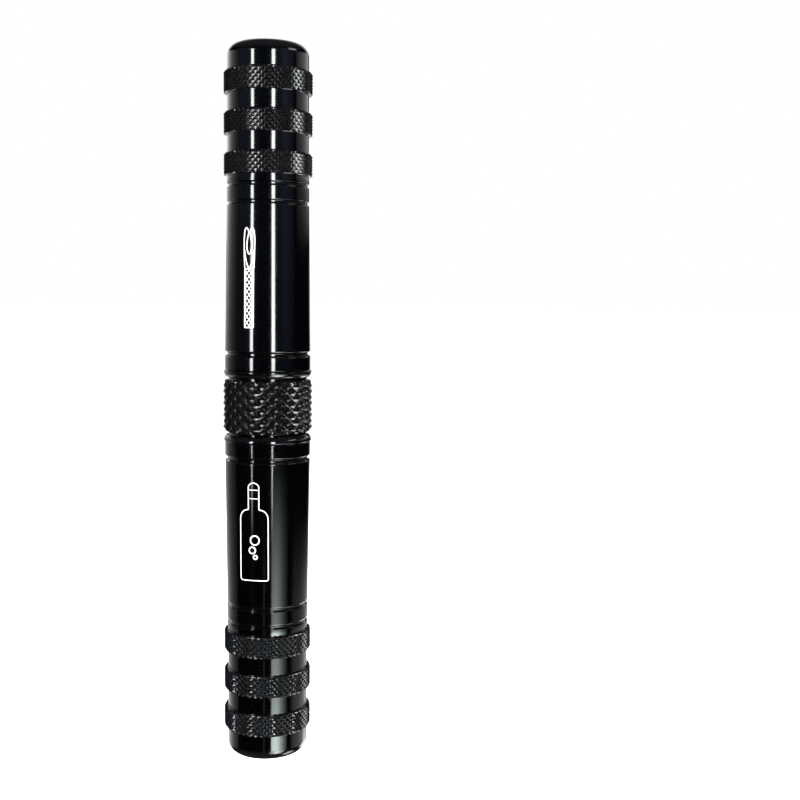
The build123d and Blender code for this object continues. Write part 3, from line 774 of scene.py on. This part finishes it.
def cut_out(piece, tool):
    """Take one mesh away from another, for good."""
    modifier = piece.modifiers.new("cut", "BOOLEAN")
    modifier.operation = "DIFFERENCE"
    modifier.solver = "EXACT"
    modifier.object = tool
    bpy.context.view_layer.update()
    evaluated = piece.evaluated_get(bpy.context.evaluated_depsgraph_get())
    result = bpy.data.meshes.new_from_object(evaluated)
    piece.modifiers.clear()
    piece.data = result
    bpy.data.objects.remove(tool)
    result.set_sharp_from_angle(angle=radians(30))


GRIP_RADIUS = 8.2
GRIP_TOP = 31.4
GRIP_COUNT = 34
GRIP_STEPS = 8
GRIP_DEPTH = 0.42
GRIP_PITCH = 2 * pi * GRIP_RADIUS / GRIP_COUNT
GRIP_COLUMNS = GRIP_COUNT * GRIP_STEPS
HOLDER_THREAD = 6.03
SCREW_RADIUS, SCREW_HEIGHT = 1.53, 35.5


def holder_rows():
    """Half section of the fork holder: shank bore, outside, socket."""
    angles = columns_of(GRIP_COLUMNS)
    rows = [(0, 32.2), (2.1, 32.2), (2.13, 32.23), (2.13, 43.7), (2.38, 44.0)]
    rows += eased([(2.6, 44.0, 0), (4.4, 44.0, 0.08), (5.0, 43.4, 0.1), (5.0, 40.0, 0.6),
                   (7.7, 32.0, 0.3), (8.1, 31.55, 0)])
    number = int(8.9 / GRIP_PITCH * GRIP_STEPS)
    edge_rows, edge_drop = 3, 0.12
    for index in range(number + 1):
        height = GRIP_TOP - GRIP_PITCH / GRIP_STEPS * index
        cut, wear_and_sheen = diamonds(angles, GRIP_TOP - height, GRIP_COUNT, GRIP_PITCH, 0.3)
        edge = min(1.0, index / edge_rows, (number - index) / edge_rows)
        radius = GRIP_RADIUS - edge_drop * (1 - edge) - GRIP_DEPTH * edge * cut
        rows.append((radius, height, wear_and_sheen * edge))
    rows += eased([(8.1, 22.25, 0), (7.75, 21.7, 0.1), (7.45, 21.7, 0.05), (7.45, 23.1, 0.05),
                   (HOLDER_THREAD, 23.1, 0.1), (HOLDER_THREAD, 23.4, 0)])
    rows += helix_rows(HOLDER_THREAD, 0.35, 23.5, 29.3, THREAD_PITCH, GRIP_COLUMNS, outwards=True)
    return rows + [(HOLDER_THREAD, 29.5), (HOLDER_THREAD, 29.95), (5.9, 30.0), (0, 30.0)]


def screw_circle(along):
    """Round outline of the set screw's hole, at a distance from the axis."""
    turns = np.arange(48) * pi / 24
    return [
        (along, SCREW_RADIUS * cos(turn), SCREW_HEIGHT + SCREW_RADIUS * sin(turn)) for turn in turns
    ]


holder = turned("fork_holder_knurled", holder_rows(), GRIP_COLUMNS, half=GRIP_STEPS // 2)
cut_out(holder, prism("screw_hole", screw_circle(0.0), screw_circle(9.0)))
finish_piece(holder, black, "plug_fork", "black_anodised", "fork_holder")


# ---- fork: foot of the round shank, root of the flat leaf, tip, eye and slot ----
SHANK_RADIUS = 2.1
FORK_FOOT, FORK_ROOT, FORK_TIP = 32.2, 70.0, 96.0
EYE_HEIGHT, EYE_RADIUS = 88.5, 1.15
SLOT_FOOT, SLOT_HALF = 77.0, 0.35
SPLIT_HALF = 0.45  # half width of the split between the eye and the tip
FORK_COLUMNS = 128


def fork_rows():
    """Half section of the forged fork: a round shank flattened into a leaf with soft edges."""
    angles = columns_of(FORK_COLUMNS)
    widths = curve([(70, 2.1), (74, 2.1), (78, 2.3), (82, 2.62), (85.5, 2.75), (89, 2.55),
                    (92.5, 1.95), (96, 1.2)])
    depths = curve([(70, 2.1), (72, 1.78), (74, 1.36), (76.5, 1.02), (79, 0.9), (90, 0.9),
                    (96, 0.8)])
    rows = [(0, FORK_FOOT), (1.9, FORK_FOOT), (SHANK_RADIUS, FORK_FOOT + 0.2)]
    rows += [(SHANK_RADIUS, height) for height in (33.0, 45.0, 58.0, 69.0)]
    tip_length, tip_drop, squaring, squaring_length = 0.5, 0.3, 1.6, 9
    for height in np.linspace(FORK_ROOT, FORK_TIP, 105):
        wide, deep = (np.interp(height, *zip(*line)) for line in (widths, depths))
        end = max(0.0, 1 - (FORK_TIP - height) / tip_length)
        wide, deep = wide - tip_drop * end**2, deep - tip_drop * end**2
        # 2 is an ellipse, more is nearer to a rectangle
        power = 2 + squaring * min(max((height - FORK_ROOT) / squaring_length, 0.0), 1.0)
        across, along = np.abs(np.cos(angles)) / wide, np.abs(np.sin(angles)) / deep
        rows.append(((across**power + along**power) ** (-1 / power), height))
    return rows + [(0, FORK_TIP)]


def slot_outline(along):
    """Outline of the fork's eye, the split above it and the long slot below it, at a distance
    from the fork's flat middle."""
    steps, narrowing = 16, 0.8
    first = radians(67)
    last = asin((EYE_HEIGHT - SLOT_FOOT) / hypot(EYE_HEIGHT - SLOT_FOOT, narrowing)) - pi / 2
    side = [(SPLIT_HALF, FORK_TIP + 1)]
    for step in range(steps + 1):
        turn = first + (last - first) * step / steps
        side.append((EYE_RADIUS * cos(turn), EYE_HEIGHT + EYE_RADIUS * sin(turn)))
    side += [(SLOT_HALF, SLOT_FOOT), (0.25, SLOT_FOOT - 0.25), (0.0, SLOT_FOOT - 0.36)]
    side += [(-across, height) for across, height in reversed(side[:-1])]
    return [(across, along, height) for across, height in side]


fork = turned("fork_forged", fork_rows(), FORK_COLUMNS)
cut_out(fork, prism("fork_opening", slot_outline(-3.0), slot_outline(3.0)))
finish_piece(fork, fork_steel, "plug_fork", "fork_steel", "fork")


def cartridge_rows(top):
    """Half section of the gas cartridge: from its hollow's floor out of the mouth and down."""
    radius, neck, bore, hollow, mouth = 10.9, 4.72, 2.4, 9.4, 3.23
    base, floor, seat = top - 88.5, top - 87.0, top - 0.8
    shoulder, shoulder_steps = 10.0, 20
    rows = eased([(0, floor), (hollow, floor, 4.2), (hollow, top - 20.5, 2.0),
                  (bore, top - 9.8, 3.0), (bore, seat, 0.05), (mouth, seat, 0.03)], steps=6)
    rows += eased([(mouth, top, 0.05), (4.3, top, 0.1), (4.6, top - 0.35, 0)])
    thread = helix_rows(neck, 0.45, top - 8.0, top - 0.5, UNF_PITCH, HUB_COLUMNS)
    rows += [(np.minimum(r, 4.35 + (top - h) * 0.9), h) for r, h in reversed(thread)]
    rows += [(neck, top - 8.2)]
    for step in range(shoulder_steps + 1):
        part = step / shoulder_steps
        out = (radius - neck) * (1 - cos(pi * part)) / 2
        rows.append((neck + out, top - 9.0 - shoulder * part))
    return rows + eased([(radius, top - 19.2, 0), (radius, base, 6.0), (0, base)], steps=16)


cartridge_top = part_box("cartridge")[1].z / MM - HUB_CENTRE
cartridge = turned("cartridge_steel", cartridge_rows(cartridge_top), HUB_COLUMNS)
finish_piece(cartridge, cartridge_steel, "gas_cartridge", "cartridge_steel", "cartridge")


def coil(name, node, wire, turns):
    """Coil spring with slightly tapered wire ends, filling its CAD node's box."""
    sides, steps, end_size = 12, 24, 0.7
    low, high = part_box(node)
    middle = (high[0] - low[0]) / 2 / MM - wire / 2
    foot, rise = low[2] / MM - HUB_CENTRE + wire / 2, (high[2] - low[2]) / MM - wire
    climb = rise / (2 * pi * turns * middle)
    slope = sqrt(1 + climb**2)
    vertices, faces = [], []
    parts = int(turns * steps)
    for part in range(parts + 1):
        angle = 2 * pi * turns * part / parts
        thick = wire / 2 * (end_size if part in (0, parts) else 1)
        for side in range(sides):
            turn = 2 * pi * side / sides
            out, up = thick * cos(turn), thick * sin(turn) / slope
            radius, back = middle + out, -up * climb
            vertices.append((radius * cos(angle) - back * sin(angle),
                             radius * sin(angle) + back * cos(angle),
                             foot + rise * part / parts + up))
    for part in range(parts):
        for side in range(sides):
            a, b = part * sides + side, part * sides + (side + 1) % sides
            faces.append((a, b, b + sides, a + sides))
    faces += [tuple(range(sides)), tuple(range(parts * sides, (parts + 1) * sides))[::-1]]
    return mesh_object(name, vertices, faces, sharp=50)


spring = coil("plunger_spring_coil", "plunger_spring", 0.5, 4.5)
finish_piece(spring, spring_steel, "hub", "spring_steel", "plunger_spring")
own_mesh(spring)


# CAD nodes that are shown as they are
for node, material in (
    ("fork_set_screw", screw_steel),
    ("plunger", brass),
    ("piercing_pin", pin_steel),
    ("cartridge_cap", cap_steel),
):
    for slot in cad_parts[node].material_slots:
        slot.material = material


def pad_rows(thickness):
    """Soft disc against a tube's closed end, its open face a little hollow."""
    top, bottom = TUBE_BASE, TUBE_BASE - thickness
    radius, rim, hollow = 10.9, 1.6, 0.16
    rows = [(0, top)] + [(radius * part, top - 0.02) for part in (0.3, 0.6, 0.8)]
    rows += eased([(radius - rim, top - 0.04, 0), (radius, top, 1.1), (radius, bottom, 0.5),
                   (radius - rim, bottom + 0.1, 0)], steps=6)
    rows += [(radius * part, bottom + hollow * (1 - part)) for part in (0.7, 0.45, 0.2)]
    return rows + [(0, bottom + hollow)]


for side, flip, thickness in (("upper", False, 2.0), ("lower", True, 5.6)):
    pad = turned(f"{side}_pad_soft", pad_rows(thickness), 96, flip=flip)
    finish_piece(pad, pad_grey, f"{side}_pad", "pad_rubber", f"{side}_tube_pad")

# ---- camera ----
CAMERA_PLACE = Vector((59.25, -369.51, 143.49)) * MM
CAMERA_YAW, CAMERA_PITCH, CAMERA_ROLL = radians(2.7487), radians(-4.8546), radians(-0.6211)
CAMERA_SHIFT = (-0.0011, 0.0005)
camera_data = bpy.data.cameras.new("camera")
camera_data.sensor_width = 36.0
camera_data.lens = 53.88
camera_data.clip_start = 0.01
camera = new_object("camera", camera_data)
camera_turn = (
    Matrix.Rotation(CAMERA_YAW, 3, "Z")
    @ Matrix.Rotation(CAMERA_PITCH, 3, "X")
    @ Matrix.Rotation(CAMERA_ROLL, 3, "Y")
)
right, forward, above = camera_turn.col[0], camera_turn.col[1], camera_turn.col[2]
camera.matrix_world = Matrix(
    (
        (right.x, above.x, -forward.x, CAMERA_PLACE.x),
        (right.y, above.y, -forward.y, CAMERA_PLACE.y),
        (right.z, above.z, -forward.z, CAMERA_PLACE.z),
        (0, 0, 0, 1),
    )
)
camera_data.shift_x, camera_data.shift_y = CAMERA_SHIFT
bpy.context.scene.camera = camera

# ---- stage and light ----
CAMERA_AZIMUTH = asin(CAMERA_PLACE.x / hypot(CAMERA_PLACE.x, CAMERA_PLACE.y))
PANEL_TURN = 2.6  # degrees that the panels' zero lies left of the camera
PANEL_COLUMNS, PANEL_ROWS = 41, 31


def glow(name, angles, heights, reach=0.8, tint=(1, 1, 1)):
    """Upright curved light panel round the object, seen only in its reflections. angles are stops
    of (degrees from the panels' zero, positive to the right, brightness), heights are stops of
    (metres, factor), reach is the panel's distance from the axis."""
    turns, powers = zip(*angles)
    levels, factors = zip(*heights)
    across = np.linspace(turns[0], turns[-1], PANEL_COLUMNS)
    across = np.unique(np.concatenate([across, turns]))
    up = np.linspace(levels[0], levels[-1], PANEL_ROWS)
    up = np.unique(np.concatenate([up, levels]))
    vertices, bright, faces = [], [], []
    for turn in across:
        angle = CAMERA_AZIMUTH + radians(turn - PANEL_TURN)
        for height in up:
            vertices.append((reach * sin(angle), -reach * cos(angle), height))
            bright.append(np.interp(turn, turns, powers) * np.interp(height, levels, factors))
    for column in range(len(across) - 1):
        for row in range(len(up) - 1):
            a = column * len(up) + row
            faces.append((a, a + len(up), a + len(up) + 1, a + 1))
    mesh = bpy.data.meshes.new(name)
    mesh.from_pydata(vertices, [], faces)
    mesh.attributes.new("bright", "FLOAT", "POINT").data.foreach_set("value", bright)
    panel = new_object(name, mesh)
    material = bpy.data.materials.new(name)
    material.use_nodes = True
    tree = material.node_tree
    tree.nodes.clear()
    strength = add_node(tree, "ShaderNodeAttribute", attribute_name="bright").outputs["Fac"]
    emission = add_node(tree, "ShaderNodeEmission", {"Color": (*tint, 1), "Strength": strength})
    add_node(tree, "ShaderNodeOutputMaterial", {0: emission.outputs[0]})
    mesh.materials.append(material)
    panel.visible_camera = False
    panel.visible_shadow = False
    panel.visible_diffuse = False


# two tall strips, their fading tails below, and a faint line low between them
glow("strip_left", [(-45.4, 14), (-38.2, 14)], [(0.066, 1), (0.45, 1)])
glow("strip_right", [(12.4, 15), (20.8, 15)], [(0.066, 1), (0.45, 1)], reach=0.79)
glow(
    "tail_left",
    [(-41.4, 8), (-39.4, 8)],
    [(-0.105, 0), (-0.09, 0.35), (-0.073, 0.75), (-0.03, 1.1), (0.06, 1.1)],
)
glow(
    "tail_right",
    [(13.6, 16), (15.2, 16)],
    [(-0.12, 0), (-0.09, 0.3), (-0.03, 1), (0.06, 1)],
    reach=0.79,
)
glow("line_middle", [(-8.0, 0.5), (-6.6, 0.5)], [(-0.6, 1), (-0.15, 1), (-0.1, 0)])
# wide card low on the right, brighter downwards
glow(
    "card_right",
    [(13.4, 0.7), (17, 0.85), (27, 1), (34, 0.8), (42, 0.42), (51, 0.16), (60, 0.04)],
    [(-0.42, 10), (-0.30, 9.5), (-0.265, 4.4), (-0.22, 3.4), (-0.17, 2.2), (-0.13, 1.5),
     (-0.08, 0.5), (-0.04, 0)],
    tint=(0.86, 1.0, 0.98),
)
# bright surroundings behind, fading forwards on both sides
SIDE = [(92, 0.07), (105, 0.14), (120, 0.31), (140, 0.6), (158, 1.0), (164, 0)]
glow(
    "sweep_left",
    [(-turn, power) for turn, power in reversed(SIDE)],
    [(-0.5, 0.3), (-0.37, 2.0), (-0.29, 2.2), (-0.25, 1.6), (-0.07, 0.8), (0.14, 1.0), (0.33, 1.8),
     (0.42, 1.8), (0.5, 0.3)],
    reach=0.82,
)
glow(
    "sweep_right_high",
    [(85, 0.02), (93, 0.25), (105, 0.4), (120, 0.6), (140, 0.9), (155, 1.2)],
    [(0.2, 0), (0.29, 0.75), (0.34, 1), (0.42, 1), (0.5, 0.2)],
    reach=0.81,
)
glow(
    "sweep_right_low",
    [(72, 0.02), (85, 0.25), (105, 0.35), (120, 0.55), (140, 0.9), (155, 1.2)],
    [(-0.5, 0.3), (-0.38, 1.5), (-0.28, 1.5), (-0.2, 0.9), (-0.12, 0.15), (-0.08, 0)],
    reach=0.81,
)
glow(
    "rear",
    [(150, 0), (164, 0.9), (196, 0.9), (204, 0)],
    [(-0.5, 1.1), (0.12, 1), (0.2, 0)],
    reach=0.815,
)
# faint room on the camera's side, above
glow(
    "room",
    [(-92, 0.1), (-60, 0.12), (-50, 0.1), (-20, 0.03), (12, 0.03), (35, 0.08), (48, 0.2),
     (60, 0.14), (80, 0.05)],
    [(-0.02, 0), (0.15, 0.5), (0.34, 1), (0.6, 1)],
    reach=0.83,
    tint=(0.62, 0.82, 1.15),
)
# bright ground in front and on the right, which mostly the knurls' sloping faces mirror
glow(
    "ground",
    [(8, 0), (17, 4), (24, 6), (29, 9), (37, 9), (42, 6), (50, 4), (60, 0)],
    [(-1.2, 0), (-1.05, 1), (-0.47, 1), (-0.42, 0)],
)
glow(
    "ground_near",
    [(78, 0), (86, 3.5), (116, 3.5), (124, 0)],
    [(-1.8, 0), (-1.65, 1), (-0.95, 1), (-0.8, 0)],
)
# side and back glints on the knurls' right-hand facets
glow(
    "net_right",
    [(62, 0), (68, 2.5), (88, 2.5), (94, 0)],
    [(0.5, 0), (0.54, 1), (0.68, 1), (0.76, 0)],
)
glow(
    "net_back",
    [(124, 0), (132, 4), (152, 4), (158, 0)],
    [(-0.6, 0), (-0.52, 1), (-0.33, 1), (-0.26, 0)],
)
# bright backdrop above and behind, which the rounded top end mirrors
glow(
    "backdrop_top",
    [(140, 0), (160, 0.9), (200, 0.9), (220, 0)],
    [(0.45, 1), (0.9, 0.6), (1.6, 0.15), (2.4, 0)],
    reach=0.84,
)


def area(name, place, target, size, power):
    """Soft round lamp that no reflection shows."""
    data = bpy.data.lights.new(name, "AREA")
    data.shape = "DISK"
    data.size = size
    data.energy = power
    lamp = new_object(name, data)
    lamp.location = place
    lamp.rotation_euler = (Vector(target) - Vector(place)).to_track_quat("-Z", "Y").to_euler()
    lamp.visible_glossy = False
    lamp.visible_camera = False


area("overhead", (0.0, 0.0, 1.3), (0, 0, 0), 1.2, 30.0)
area("front_fill", (0.25, -1.2, 0.7), (0, 0, 0.11), 0.9, 26.0)
area("back_fill", (-0.4, 1.2, 0.7), (0, 0, 0.11), 0.9, 18.0)

FLOOR_HALF = 60.0
FLOOR_HEIGHT = -0.105  # clear of the lower tube when it is drawn off downwards
corners = [(-1, -1), (1, -1), (1, 1), (-1, 1)]
floor_mesh = bpy.data.meshes.new("floor")
floor_mesh.from_pydata(
    [(x * FLOOR_HALF, y * FLOOR_HALF, FLOOR_HEIGHT) for x, y in corners], [], [(0, 1, 2, 3)]
)
floor = new_object("floor", floor_mesh)
# pale floor that glows a little less near the object
floor_nodes = Nodes("pale_floor")
distance = floor_nodes.add("ShaderNodeVectorMath", {0: floor_nodes.place}, operation="LENGTH")
fade = floor_nodes.span(distance.outputs["Value"], 0.72, 1.05, 0.15, 0.9)
floor_mesh.materials.append(
    floor_nodes.into(
        Base_Color=(0.9, 0.9, 0.9, 1),
        Roughness=0.9,
        Emission_Color=(1, 1, 1, 1),
        Emission_Strength=fade,
    )
)
floor.visible_glossy = False
floor.visible_shadow = False

world = bpy.data.worlds.new("studio")
bpy.context.scene.world = world
world.use_nodes = True
tree = world.node_tree
tree.nodes.clear()
# white for the camera; mirrored surroundings are dark near the horizon, with a dull room overhead
# and underneath
seen = add_node(tree, "ShaderNodeBackground", {"Color": (1, 1, 1, 1)})
direction = add_node(tree, "ShaderNodeTexCoord").outputs["Generated"]
slope = add_node(tree, "ShaderNodeSeparateXYZ", {0: direction}).outputs[2]
steepness = add_node(tree, "ShaderNodeMath", {0: slope}, operation="ABSOLUTE").outputs[0]
dullness = add_node(
    tree,
    "ShaderNodeMapRange",
    {"Value": steepness, "From Min": 0.4, "From Max": 0.8, "To Min": 0.002, "To Max": 0.1},
)
mirrored = add_node(
    tree,
    "ShaderNodeBackground",
    {"Color": (0.92, 0.94, 1.0, 1), "Strength": dullness.outputs[0]},
)
path = add_node(tree, "ShaderNodeLightPath").outputs["Is Camera Ray"]
mix = add_node(tree, "ShaderNodeMixShader", {0: path, 1: mirrored.outputs[0], 2: seen.outputs[0]})
add_node(tree, "ShaderNodeOutputWorld", {0: mix.outputs[0]})

bpy.context.scene.view_settings.view_transform = "Standard"
